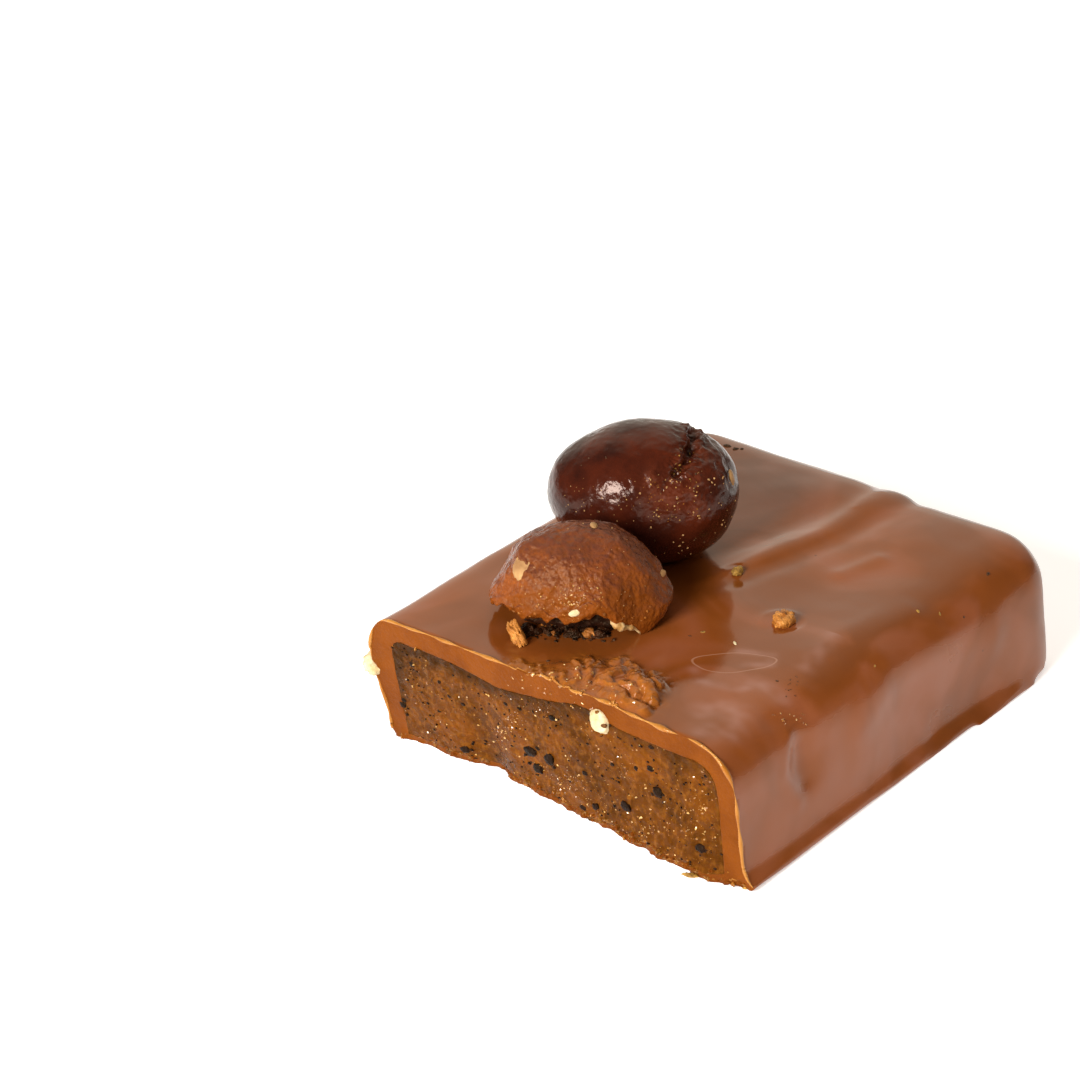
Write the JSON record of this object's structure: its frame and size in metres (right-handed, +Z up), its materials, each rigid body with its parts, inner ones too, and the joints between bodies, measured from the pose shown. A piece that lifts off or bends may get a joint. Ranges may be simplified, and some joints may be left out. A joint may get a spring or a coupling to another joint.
{
  "type": "coffee toffee bar half",
  "caption": "Half of a milk chocolate coated coffee toffee bar, cut across to show the toffee, with a whole and a broken chocolate coffee bean on top.",
  "frame": {"origin": "middle of the base of the bounding box, on the surface that the bar lies on", "axes": "+Z up, +Y along the bar away from its cut face, +X along the cut face to the right"},
  "size_m": [0.0342, 0.0394, 0.0198],
  "materials": {
    "milk_chocolate": "set milk chocolate, semi-gloss",
    "toffee": "cut hard toffee, glinting grain",
    "dark_chocolate": "polished dark chocolate",
    "dusted_chocolate": "milk chocolate with fine crumbs in it",
    "roasted_coffee": "dry roasted coffee and crumbs"
  },
  "bodies": {
    "root": {"coating": "milk_chocolate", "toffee": "toffee", "dark_bean": "dark_chocolate", "milk_bean_shell": "dusted_chocolate", "milk_bean_core": "roasted_coffee", "milk_bean_chip": "dusted_chocolate"}
  },
  "joints": []
}
